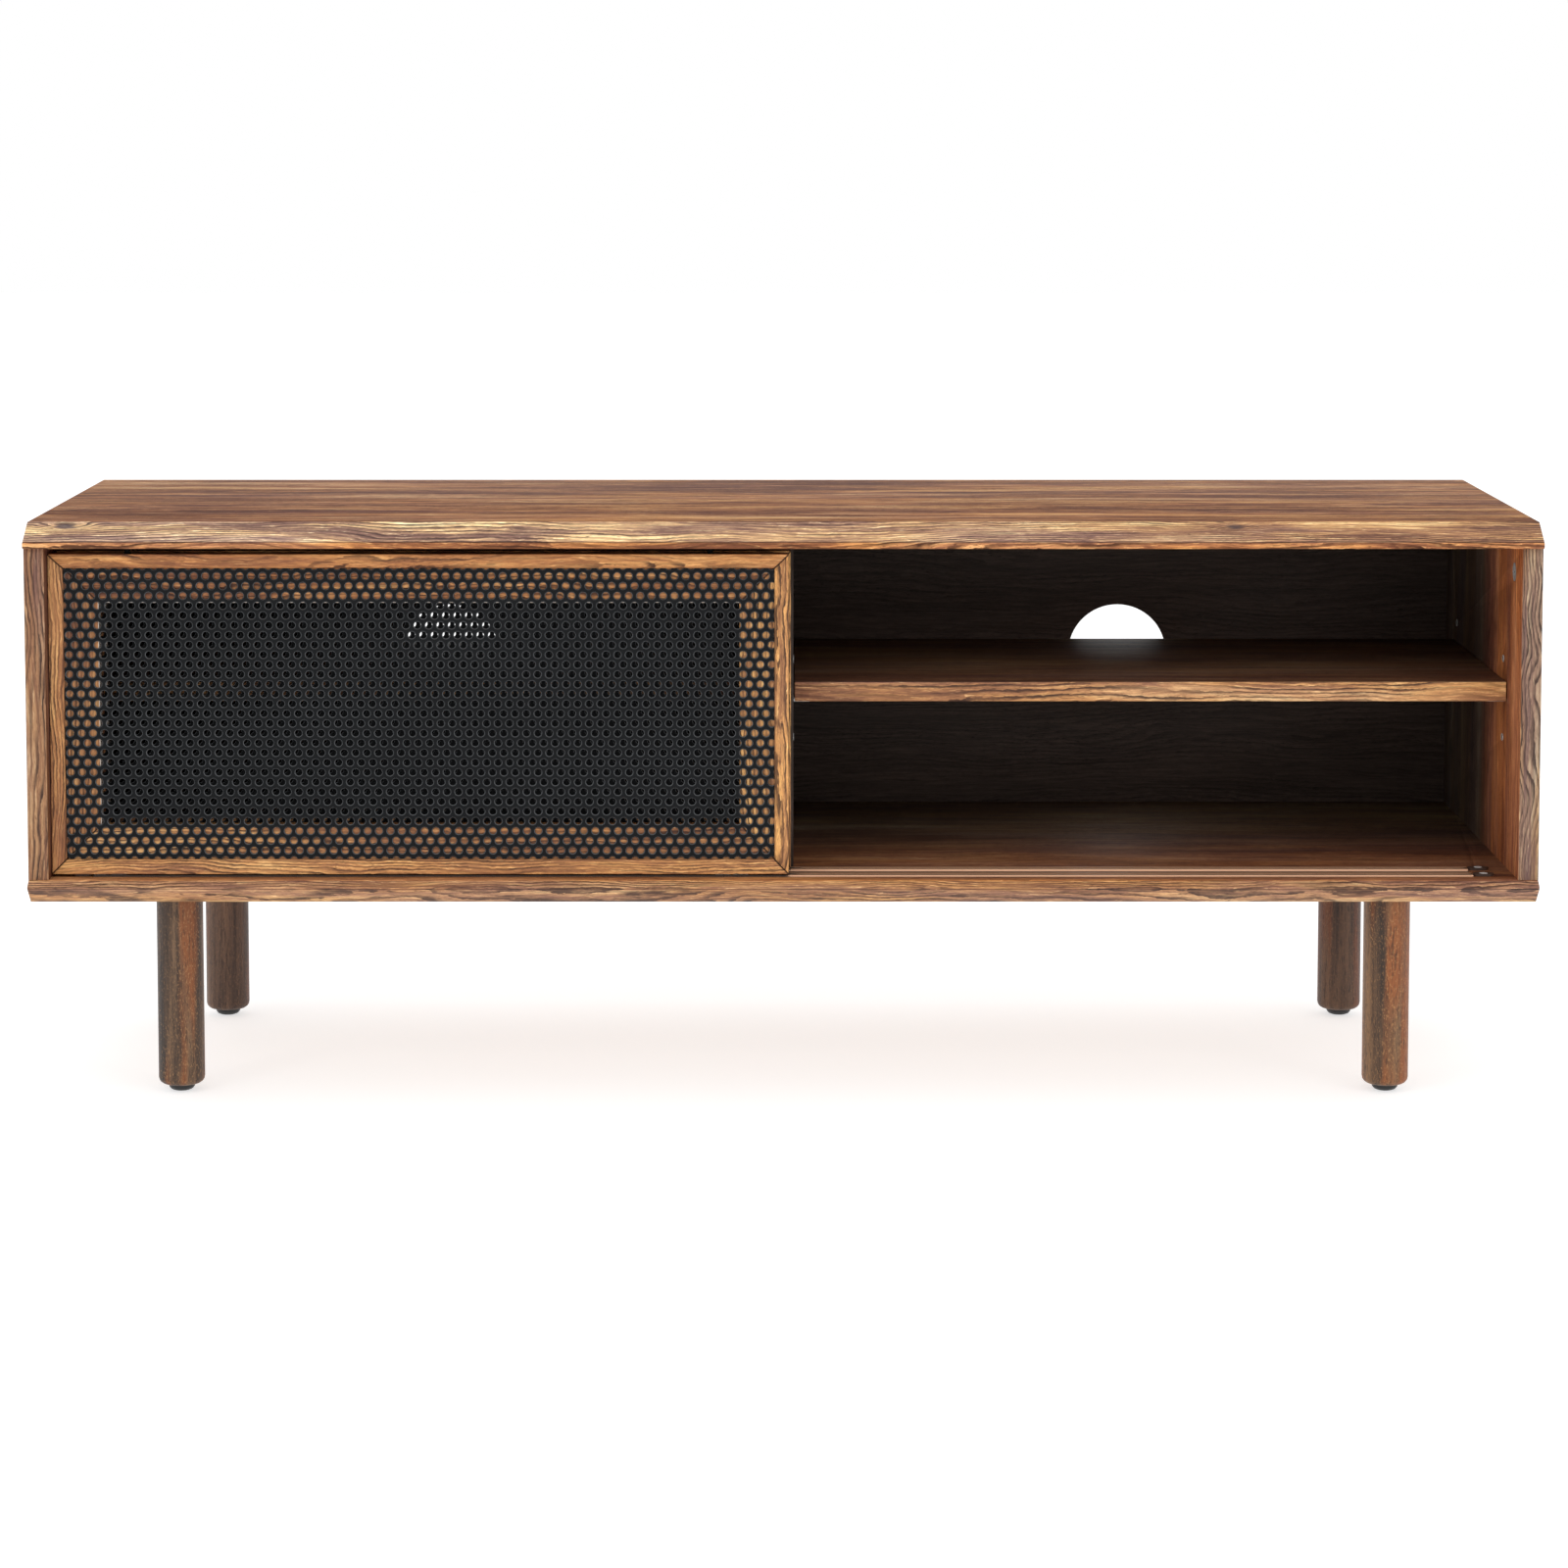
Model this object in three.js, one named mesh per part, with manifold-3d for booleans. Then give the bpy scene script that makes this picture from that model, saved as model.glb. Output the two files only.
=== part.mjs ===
// Media cabinet on four round legs: two compartments, a shelf in each, and two framed, perforated sliding doors on a twin track.
// Millimetres, +Z up, front faces -Y, floor at z = 0. "d" below is a depth measured back from the foremost plane.
import * as THREE from "three";
import { mergeVertices } from "three/addons/utils/BufferGeometryUtils.js";
import Module from "manifold-3d";

const wasm = await Module();
wasm.setup();

// ---- overall ----
const W = 1194; // length of top and bottom panels
const D = 394; // depth, front lip to rear edge
const H = 463; // height, floor to top surface
const T_TOP = 19; // thickness of top and bottom panels
const T = 16; // thickness of sides, divider and shelves
const LEG_H = 161; // floor to underside of bottom panel

const Z_TOP_UNDER = H - T_TOP; // 444
const Z_DECK = LEG_H + T_TOP; // 180
const X_IN = W / 2 - T; // inner face of each side panel, 581
const SIDE_SET = 6; // side panels start this far behind the front lips

// ---- front edges ----
const TOP_LIP = 4.6; // height of the vertical lip of the top panel
const TOP_BEVEL = 24.6; // depth of the bevel above it
const BOT_UP_BEVEL_D = 7, BOT_UP_BEVEL_H = 4.5; // small bevel down from the deck to the lip
const BOT_LIP = 1.6; // height of the lip
const BOT_BEVEL = 15; // depth of the bevel under it

// ---- back panel ----
const BACK_D = 378; // its front face
const BACK_T = 4;
const GROOVE = 5; // depth of the groove that holds it
const CABLE_R = 42.7, CABLE_X = 292.5, CABLE_Z = 312;

// ---- shelves and their pins ----
const SHELF_Z = 314; // underside, level with the middle pin hole
const SHELF_D0 = 66, SHELF_D1 = 336;
const SHELF_GAP = 1;
const PIN_D = [88, 320];
const HOLE_Z = [282, 314, 346];
const HOLE_R = 2.6, HOLE_DEEP = 10.5;
const PIN_R = 2.4;

// ---- divider ----
const DIV_D0 = 64;

// ---- doors ----
const DOOR_D = [19, 45]; // front face of the front door, of the rear door
const DOOR_T = 16;
const DOOR_W = 584.7;
const DOOR_Z0 = 182.4, DOOR_Z1 = 437.6;
const DOOR_X0 = [-580.5, -578.8]; // left edge of each door where it is parked
const FLAT = 5; // width of the flat outer part of the frame
const LIP = 11.2; // width of the frame in front of the mesh
const LIP_FALL = 3.5; // how far the inner bevel falls back
const REBATE = 6; // front of the ledge behind the mesh
const LEDGE = 39; // full width of the frame
const MESH_F = 4.5, MESH_T = 1.2; // mesh front face and thickness, from the door's front face
const MITRE_GAP = 0.15;

// ---- tracks ----
const RUN_D = [27, 53]; // centre of each run
const RUN_W = 12.5, GROOVE_W = 5;
const TRACK_X = 548.2; // half length
const BT_PROUD = 1.2, BT_SUNK = 3.4, BT_FLOOR = 2.4, BT_WEB = 0.4;
const TT_PROUD = 1.2, TT_SUNK = 6.2, TT_ROOF = 5;
const STOP_X = 557;

// ---- rollers and guides ----
const WHEEL_R = 5.5, WHEEL_W = 3.4, WHEEL_Z = 183.4;
const AXLE_R = 1.2, AXLE_SLOT = 2.8;
const HOUSING = { l: 26, w: 7.6, z0: 181.4, z1: 191.2 };
const ROLLER_IN = 45.3; // roller centre from each end of the door
const GUIDE_IN = 62; // guide pin from each end of the door

// ---- legs ----
const LEG_X = 485, LEG_D = [57, 337];
const LEG_R = 18.5, LEG_ROUND = 5.5, FOOT_H = 5.5;
const BOLT_R = 4;

const y = (d) => d - D / 2;

// ---------- helpers ----------
function toManifold(geometry) {
  const g = geometry.clone();
  g.deleteAttribute("normal");
  g.deleteAttribute("uv");
  const m = mergeVertices(g, 1e-4);
  return new wasm.Manifold(
    new wasm.Mesh({
      numProp: 3,
      vertProperties: new Float32Array(m.attributes.position.array),
      triVerts: new Uint32Array(m.index.array),
    }),
  );
}
function toGeometry(solid) {
  const m = solid.getMesh(), n = m.numProp, v = new Float32Array(m.numVert * 3);
  for (let i = 0; i < m.numVert; i++) v.set(m.vertProperties.subarray(i * n, i * n + 3), i * 3);
  const g = new THREE.BufferGeometry();
  g.setAttribute("position", new THREE.BufferAttribute(v, 3));
  g.setIndex(new THREE.BufferAttribute(new Uint32Array(m.triVerts), 1));
  g.computeVertexNormals();
  return g;
}
const box = (x0, x1, d0, d1, z0, z1) =>
  toManifold(
    new THREE.BoxGeometry(x1 - x0, d1 - d0, z1 - z0).translate(
      (x0 + x1) / 2, y((d0 + d1) / 2), (z0 + z1) / 2,
    ),
  );
// cylinder along an axis, from a to b on that axis
function rod(axis, r, cx, cd, cz, a, b, seg = 32) {
  const g = new THREE.CylinderGeometry(r, r, b - a, seg);
  if (axis === "x") g.rotateZ(-Math.PI / 2).translate((a + b) / 2, y(cd), cz);
  if (axis === "y") g.translate(cx, y((a + b) / 2), cz);
  if (axis === "z") g.rotateX(Math.PI / 2).translate(cx, y(cd), (a + b) / 2);
  return toManifold(g);
}
// extrusion along x of a profile given as [d, z] pairs
function profileX(points, x0, x1) {
  const shape = new THREE.Shape(points.map(([d, z]) => new THREE.Vector2(y(d), z)));
  const g = new THREE.ExtrudeGeometry(shape, { depth: x1 - x0, bevelEnabled: false, curveSegments: 1 });
  g.applyMatrix4(new THREE.Matrix4().makeBasis(
    new THREE.Vector3(0, 1, 0), new THREE.Vector3(0, 0, 1), new THREE.Vector3(1, 0, 0),
  ));
  g.translate(x0, 0, 0);
  return toManifold(g);
}
function lathe(profile, cx, cd, seg = 48) {
  const g = new THREE.LatheGeometry(profile.map(([r, z]) => new THREE.Vector2(r, z)), seg);
  g.rotateX(Math.PI / 2).translate(cx, y(cd), 0);
  return toManifold(g);
}
const cut = (solid, ...tools) => tools.reduce((s, t) => s.subtract(t), solid);
const join = (...solids) => solids.reduce((s, t) => s.add(t));

const group = new THREE.Group();
const MAT = {
  wood: { color: 0x9a6a48, roughness: 0.55, metalness: 0 },
  woodIn: { color: 0x5a3a26, roughness: 0.6, metalness: 0 },
  legwood: { color: 0x6b5140, roughness: 0.5, metalness: 0 },
  mesh: { color: 0x24262a, roughness: 0.45, metalness: 0.6 },
  track: { color: 0x6f5240, roughness: 0.45, metalness: 0 },
  black: { color: 0x141414, roughness: 0.5, metalness: 0 },
  nylon: { color: 0xd9d6cc, roughness: 0.4, metalness: 0 },
  steel: { color: 0xb8bcc0, roughness: 0.3, metalness: 1 },
};
function node(name, solid, mat) {
  const mesh = new THREE.Mesh(toGeometry(solid), new THREE.MeshStandardMaterial(MAT[mat]));
  mesh.name = name;
  group.add(mesh);
}

// ---------- carcass ----------
const grooveBox = (x0, x1, z0, z1) => box(x0, x1, BACK_D - 0.3, BACK_D + BACK_T + 0.3, z0, z1);
const trackD0 = RUN_D[0] - RUN_W / 2, trackD1 = RUN_D[1] + RUN_W / 2;

// top panel
const topSolid = cut(
  profileX([[0, Z_TOP_UNDER], [D, Z_TOP_UNDER], [D, H], [TOP_BEVEL, H], [0, Z_TOP_UNDER + TOP_LIP]], -W / 2, W / 2),
  grooveBox(-X_IN - GROOVE, X_IN + GROOVE, Z_TOP_UNDER - 5, Z_TOP_UNDER + GROOVE),
  box(-TRACK_X - 0.3, TRACK_X + 0.3, trackD0 - 0.3, trackD1 + 0.3, Z_TOP_UNDER - 5, Z_TOP_UNDER + TT_SUNK + 0.3),
);
node("top_panel", topSolid, "wood");

// bottom panel, with the recess for the track, the holes for the stop screws and the leg bolts
const lipTop = Z_DECK - BOT_UP_BEVEL_H;
let bottomSolid = cut(
  profileX([[BOT_BEVEL, LEG_H], [D, LEG_H], [D, Z_DECK], [BOT_UP_BEVEL_D, Z_DECK], [0, lipTop], [0, lipTop - BOT_LIP]], -W / 2, W / 2),
  grooveBox(-X_IN - GROOVE, X_IN + GROOVE, Z_DECK - GROOVE, Z_DECK + 5),
  box(-TRACK_X - 0.3, TRACK_X + 0.3, trackD0 - 0.3, trackD1 + 0.3, Z_DECK - BT_SUNK - 0.3, Z_DECK + 5),
);
for (const sx of [-1, 1])
  for (const d of RUN_D) bottomSolid = bottomSolid.subtract(rod("z", 1.8, sx * STOP_X, d, 0, Z_DECK - 11, Z_DECK + 2, 20));
for (const sx of [-1, 1])
  for (const d of LEG_D) bottomSolid = bottomSolid.subtract(rod("z", BOLT_R + 0.3, sx * LEG_X, d, 0, LEG_H - 2, LEG_H + 14, 24));
node("bottom_panel", bottomSolid, "wood");

// side panels
const CAM_Z = Z_TOP_UNDER - 23, CAM_R = 7.8, CAM_DEEP = 12, CAM_D = [44, 346];
for (const [name, s] of [["left_side_panel", -1], ["right_side_panel", 1]]) {
  const a = s * X_IN, b = (s * W) / 2;
  let p = box(Math.min(a, b), Math.max(a, b), SIDE_SET, D, Z_DECK, Z_TOP_UNDER);
  const g0 = s > 0 ? X_IN - 5 : -X_IN - GROOVE, g1 = s > 0 ? X_IN + GROOVE : -X_IN + 5;
  p = p.subtract(grooveBox(g0, g1, Z_DECK - 5, Z_TOP_UNDER + 5));
  for (const d of PIN_D)
    for (const z of HOLE_Z)
      p = p.subtract(s > 0 ? rod("x", HOLE_R, 0, d, z, X_IN - 2, X_IN + HOLE_DEEP, 14) : rod("x", HOLE_R, 0, d, z, -X_IN - HOLE_DEEP, -X_IN + 2, 14));
  for (const d of CAM_D)
    p = p.subtract(s > 0 ? rod("x", CAM_R, 0, d, CAM_Z, X_IN - 2, X_IN + CAM_DEEP + 0.3, 36) : rod("x", CAM_R, 0, d, CAM_Z, -X_IN - CAM_DEEP - 0.3, -X_IN + 2, 36));
  node(name, p, "wood");
}

// centre divider
{
  let p = box(-T / 2, T / 2, DIV_D0, BACK_D - 0.3, Z_DECK, Z_TOP_UNDER);
  for (const d of PIN_D)
    for (const z of HOLE_Z)
      p = cut(p,
        rod("x", HOLE_R, 0, d, z, T / 2 - 7.6, T / 2 + 2, 14),
        rod("x", HOLE_R, 0, d, z, -T / 2 - 2, -T / 2 + 7.6, 14));
  node("centre_divider", p, "woodIn");
}

// back panel, held in grooves on all four sides
{
  const g = GROOVE - 0.5;
  let p = box(-X_IN - g, X_IN + g, BACK_D, BACK_D + BACK_T, Z_DECK - g, Z_TOP_UNDER + g);
  for (const sx of [-1, 1]) p = p.subtract(rod("y", CABLE_R, sx * CABLE_X, 0, CABLE_Z, BACK_D - 2, BACK_D + BACK_T + 2, 64));
  node("back_panel", p, "woodIn");
}

// shelves and pins
for (const [side, s] of [["left", -1], ["right", 1]]) {
  const a = s * (T / 2 + SHELF_GAP), b = s * (X_IN - SHELF_GAP);
  node(side + "_shelf", box(Math.min(a, b), Math.max(a, b), SHELF_D0, SHELF_D1, SHELF_Z, SHELF_Z + T), "wood");
  for (const [dn, d] of [["front", PIN_D[0]], ["rear", PIN_D[1]]])
    for (const [wn, face, out, deep] of [["inner", (s * T) / 2, s, 7], ["outer", s * X_IN, -s, 10]]) {
      // round shank in the hole, collar on the face and a flat tongue under the shelf
      const tongue = (u0, u1, w, z0, z1) => {
        const x0 = face + out * u0, x1 = face + out * u1;
        return box(Math.min(x0, x1), Math.max(x0, x1), d - w / 2, d + w / 2, z0, z1);
      };
      const x0 = face - out * deep, x1 = face + out * 1.5;
      const shank = rod("x", PIN_R, 0, d, SHELF_Z, Math.min(x0, x1), Math.max(x0, x1), 14);
      let pin = cut(join(shank, tongue(0.3, 13, 9, SHELF_Z - 2.6, SHELF_Z - 0.3)),
        tongue(0.3, 20, 30, SHELF_Z - 0.3, SHELF_Z + 10));
      node(`${side}_shelf_pin_${dn}_${wn}`, pin, "steel");
    }
}

// cam locks
for (const [side, s] of [["left", -1], ["right", 1]])
  for (const [dn, d] of [["front", CAM_D[0]], ["rear", CAM_D[1]]]) {
    const r = CAM_R - 0.3;
    const x0 = s > 0 ? X_IN : -X_IN - CAM_DEEP, x1 = s > 0 ? X_IN + CAM_DEEP : -X_IN;
    let c = rod("x", r, 0, d, CAM_Z, x0, x1, 36);
    const u0 = s > 0 ? X_IN - 1 : -X_IN - 3, u1 = s > 0 ? X_IN + 3 : -X_IN + 1;
    c = cut(c, box(u0, u1, d - 4.5, d + 4.5, CAM_Z - 0.8, CAM_Z + 0.8), box(u0, u1, d - 0.8, d + 0.8, CAM_Z - 4.5, CAM_Z + 4.5));
    node(`${side}_cam_lock_${dn}`, c, "steel");
  }

// ---------- tracks ----------
{
  const zb = Z_DECK - BT_SUNK, zt = Z_DECK + BT_PROUD, zf = Z_DECK - BT_FLOOR, zw = Z_DECK - BT_WEB;
  const [c0, c1] = RUN_D, h = RUN_W / 2, g = GROOVE_W / 2;
  node("bottom_track", profileX([
    [c0 - h, zb], [c1 + h, zb], [c1 + h, zt], [c1 + g, zt], [c1 + g, zf], [c1 - g, zf], [c1 - g, zt], [c1 - h, zt],
    [c1 - h, zw], [c0 + h, zw], [c0 + h, zt], [c0 + g, zt], [c0 + g, zf], [c0 - g, zf], [c0 - g, zt], [c0 - h, zt],
  ], -TRACK_X, TRACK_X), "track");
  const tb = Z_TOP_UNDER - TT_PROUD, tt = Z_TOP_UNDER + TT_SUNK, tr = Z_TOP_UNDER + TT_ROOF, tw = Z_TOP_UNDER + 0.4;
  node("top_track", profileX([
    [c0 - h, tt], [c0 - h, tb], [c0 - g, tb], [c0 - g, tr], [c0 + g, tr], [c0 + g, tb], [c0 + h, tb], [c0 + h, tw],
    [c1 - h, tw], [c1 - h, tb], [c1 - g, tb], [c1 - g, tr], [c1 + g, tr], [c1 + g, tb], [c1 + h, tb], [c1 + h, tt],
  ], -TRACK_X, TRACK_X), "track");
}
for (const [dn, d] of [["front", RUN_D[0]], ["rear", RUN_D[1]]])
  for (const [side, s] of [["left", -1], ["right", 1]]) {
    const cx = s * STOP_X, z0 = Z_DECK + 0.05;
    const stop = join(
      box(cx - 3.5, cx + 3.5, d - 5, d + 5, z0, z0 + 1.8),
      rod("z", 5, cx - 3.5, d, 0, z0, z0 + 1.8, 20),
      rod("z", 5, cx + 3.5, d, 0, z0, z0 + 1.8, 20),
      lathe([[0, Z_DECK - 9], [1.45, Z_DECK - 9], [1.45, z0 + 1.2], [3.2, z0 + 1.2], [3.1, z0 + 1.85], [2.2, z0 + 2.05], [0, z0 + 2.1]], cx, d, 18),
    );
    node(`track_stop_${dn}_${side}`, stop, "black");
  }

// ---------- doors ----------
// one mitred frame piece: profile in (u, t) swept along a straight edge, ends cut at 45 degrees
function framePiece(length, place) {
  const prof = [[0, 0], [FLAT, 0], [LIP, LIP_FALL], [LIP, REBATE], [LEDGE, REBATE], [LEDGE, DOOR_T], [0, DOOR_T]];
  const n = prof.length, pos = [];
  const at = (i, end) => {
    const [u, t] = prof[i], s = length / 2 - u - MITRE_GAP;
    return place(end * s, u, t);
  };
  const tris = THREE.ShapeUtils.triangulateShape(prof.map(([u, t]) => new THREE.Vector2(u, t)), []);
  const push = (...p) => p.forEach((v) => pos.push(...v));
  for (const [a, b, c] of tris) {
    push(at(a, -1), at(b, -1), at(c, -1));
    push(at(c, 1), at(b, 1), at(a, 1));
  }
  for (let i = 0; i < n; i++) {
    const j = (i + 1) % n;
    push(at(i, -1), at(i, 1), at(j, 1));
    push(at(i, -1), at(j, 1), at(j, -1));
  }
  const make = (p) => {
    const g = new THREE.BufferGeometry();
    g.setAttribute("position", new THREE.BufferAttribute(new Float32Array(p), 3));
    return toManifold(g);
  };
  let s = make(pos);
  if (s.volume() < 0) {
    const q = [];
    for (let i = 0; i < pos.length; i += 9)
      q.push(...pos.slice(i, i + 3), ...pos.slice(i + 6, i + 9), ...pos.slice(i + 3, i + 6));
    s = make(q);
  }
  return s;
}
for (const [k, name] of [[0, "front_door"], [1, "rear_door"]]) {
  const x0 = DOOR_X0[k], x1 = x0 + DOOR_W, d0 = DOOR_D[k], dc = d0 + DOOR_T / 2;
  const cx = (x0 + x1) / 2, cz = (DOOR_Z0 + DOOR_Z1) / 2, dh = DOOR_Z1 - DOOR_Z0;
  const xs = [["left", x0 + ROLLER_IN, x0 + GUIDE_IN], ["right", x1 - ROLLER_IN, x1 - GUIDE_IN]];
  let top = framePiece(DOOR_W, (s, u, t) => [cx + s, y(d0 + t), DOOR_Z1 - u]);
  let bottom = framePiece(DOOR_W, (s, u, t) => [cx + s, y(d0 + t), DOOR_Z0 + u]);
  const left = framePiece(dh, (s, u, t) => [x0 + u, y(d0 + t), cz + s]);
  const right = framePiece(dh, (s, u, t) => [x1 - u, y(d0 + t), cz + s]);
  const h = HOUSING, half = h.l / 2, w = h.w / 2;
  for (const [side, rx, gx] of xs) {
    bottom = bottom.subtract(box(rx - half - 0.3, rx + half + 0.3, dc - w - 0.3, dc + w + 0.3, DOOR_Z0 - 3, h.z1 + 0.3));
    top = top.subtract(rod("z", 3.1, gx, dc, 0, DOOR_Z1 - 10, DOOR_Z1 + 3, 24));
    // housing: a block with a slot for the wheel and open-bottomed slots that the axle snaps into
    const housing = cut(
      box(rx - half, rx + half, dc - w, dc + w, h.z0, h.z1),
      box(rx - WHEEL_R - 0.9, rx + WHEEL_R + 0.9, dc - WHEEL_W / 2 - 0.35, dc + WHEEL_W / 2 + 0.35, h.z0 - 1, WHEEL_Z + WHEEL_R + 0.5),
      box(rx - AXLE_SLOT / 2, rx + AXLE_SLOT / 2, dc - w - 1, dc + w + 1, h.z0 - 1, WHEEL_Z + AXLE_SLOT / 2),
    );
    node(`${name}_roller_housing_${side}`, housing, "nylon");
    node(`${name}_roller_${side}`, join(
      rod("y", WHEEL_R, rx, 0, WHEEL_Z, dc - WHEEL_W / 2, dc + WHEEL_W / 2, 32),
      rod("y", AXLE_R, rx, 0, WHEEL_Z, dc - w + 0.1, dc + w - 0.1, 16),
    ), "nylon");
    node(`${name}_guide_pin_${side}`, lathe([[0, DOOR_Z1 - 9.5], [2.8, DOOR_Z1 - 9.5], [2.8, DOOR_Z1 + 0.6], [2.1, DOOR_Z1 + 0.6], [2.1, 446.6], [1.5, 447.4], [0, 447.6]], gx, dc, 18), "nylon");
  }
  node(`${name}_top_rail`, top, "wood");
  node(`${name}_bottom_rail`, bottom, "wood");
  node(`${name}_left_stile`, left, "wood");
  node(`${name}_right_stile`, right, "wood");
  const m = LIP + 0.3;
  node(`${name}_mesh`, box(x0 + m, x1 - m, d0 + MESH_F, d0 + MESH_F + MESH_T, DOOR_Z0 + m, DOOR_Z1 - m), "mesh");
}

// ---------- legs ----------
for (const [dn, d] of [["front", LEG_D[0]], ["rear", LEG_D[1]]])
  for (const [side, s] of [["left", -1], ["right", 1]]) {
    const cx = s * LEG_X, r = LEG_R, q = LEG_ROUND, zt = LEG_H - 0.3, b = BOLT_R + 0.3;
    const arc = [0, 1, 2, 3, 4].map((i) => {
      const a = (i / 4) * (Math.PI / 2);
      return [r - q + q * Math.sin(a), FOOT_H + q - q * Math.cos(a)];
    });
    node(`leg_${dn}_${side}`, lathe([[0, FOOT_H + 14.3], [2.8, FOOT_H + 14.3], [2.8, FOOT_H], ...arc, [r, zt], [b, zt], [b, zt - 30], [0, zt - 30]], cx, d, 36), "legwood");
    node(`leg_bolt_${dn}_${side}`, rod("z", BOLT_R, cx, d, 0, zt - 29.7, LEG_H + 13.7, 24), "steel");
    node(`foot_glide_${dn}_${side}`, lathe([[0, 0], [6.5, 0], [8.8, 0.9], [10.2, 2.6], [10.6, 4.6], [10.6, FOOT_H - 0.3], [2.5, FOOT_H - 0.3], [2.5, FOOT_H + 13.8], [0, FOOT_H + 14]], cx, d, 24), "black");
  }

export default group;
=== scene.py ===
"""Looks of the media cabinet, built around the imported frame. Metres, +Z up, front faces -Y."""
import math

import bmesh
import bpy
import numpy as np
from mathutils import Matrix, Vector


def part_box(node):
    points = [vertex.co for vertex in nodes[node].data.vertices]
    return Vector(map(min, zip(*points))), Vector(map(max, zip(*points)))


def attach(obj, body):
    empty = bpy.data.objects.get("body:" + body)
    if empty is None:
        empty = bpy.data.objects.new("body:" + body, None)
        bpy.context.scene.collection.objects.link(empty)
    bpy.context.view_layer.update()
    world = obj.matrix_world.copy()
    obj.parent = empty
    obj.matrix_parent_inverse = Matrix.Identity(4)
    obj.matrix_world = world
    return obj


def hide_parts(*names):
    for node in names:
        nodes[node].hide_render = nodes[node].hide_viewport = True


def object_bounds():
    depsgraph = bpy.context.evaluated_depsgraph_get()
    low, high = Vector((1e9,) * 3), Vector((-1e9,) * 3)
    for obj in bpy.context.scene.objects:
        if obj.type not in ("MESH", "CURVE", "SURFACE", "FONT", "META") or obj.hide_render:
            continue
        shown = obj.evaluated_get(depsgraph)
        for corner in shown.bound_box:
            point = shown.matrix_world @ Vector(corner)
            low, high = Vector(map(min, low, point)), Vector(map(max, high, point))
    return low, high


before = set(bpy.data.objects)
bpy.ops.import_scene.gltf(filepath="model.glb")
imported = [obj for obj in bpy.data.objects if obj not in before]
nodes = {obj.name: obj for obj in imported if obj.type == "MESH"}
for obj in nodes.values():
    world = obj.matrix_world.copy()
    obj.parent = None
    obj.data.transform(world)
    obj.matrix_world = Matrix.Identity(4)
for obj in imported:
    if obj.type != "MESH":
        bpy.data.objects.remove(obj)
cad_lo, cad_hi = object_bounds()
scene = bpy.context.scene


def lin(r, g, b):
    """sRGB 0-255 as linear RGBA."""
    def f(c):
        c /= 255.0
        return c / 12.92 if c <= 0.04045 else ((c + 0.055) / 1.055) ** 2.4
    return (f(r), f(g), f(b), 1.0)


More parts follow.
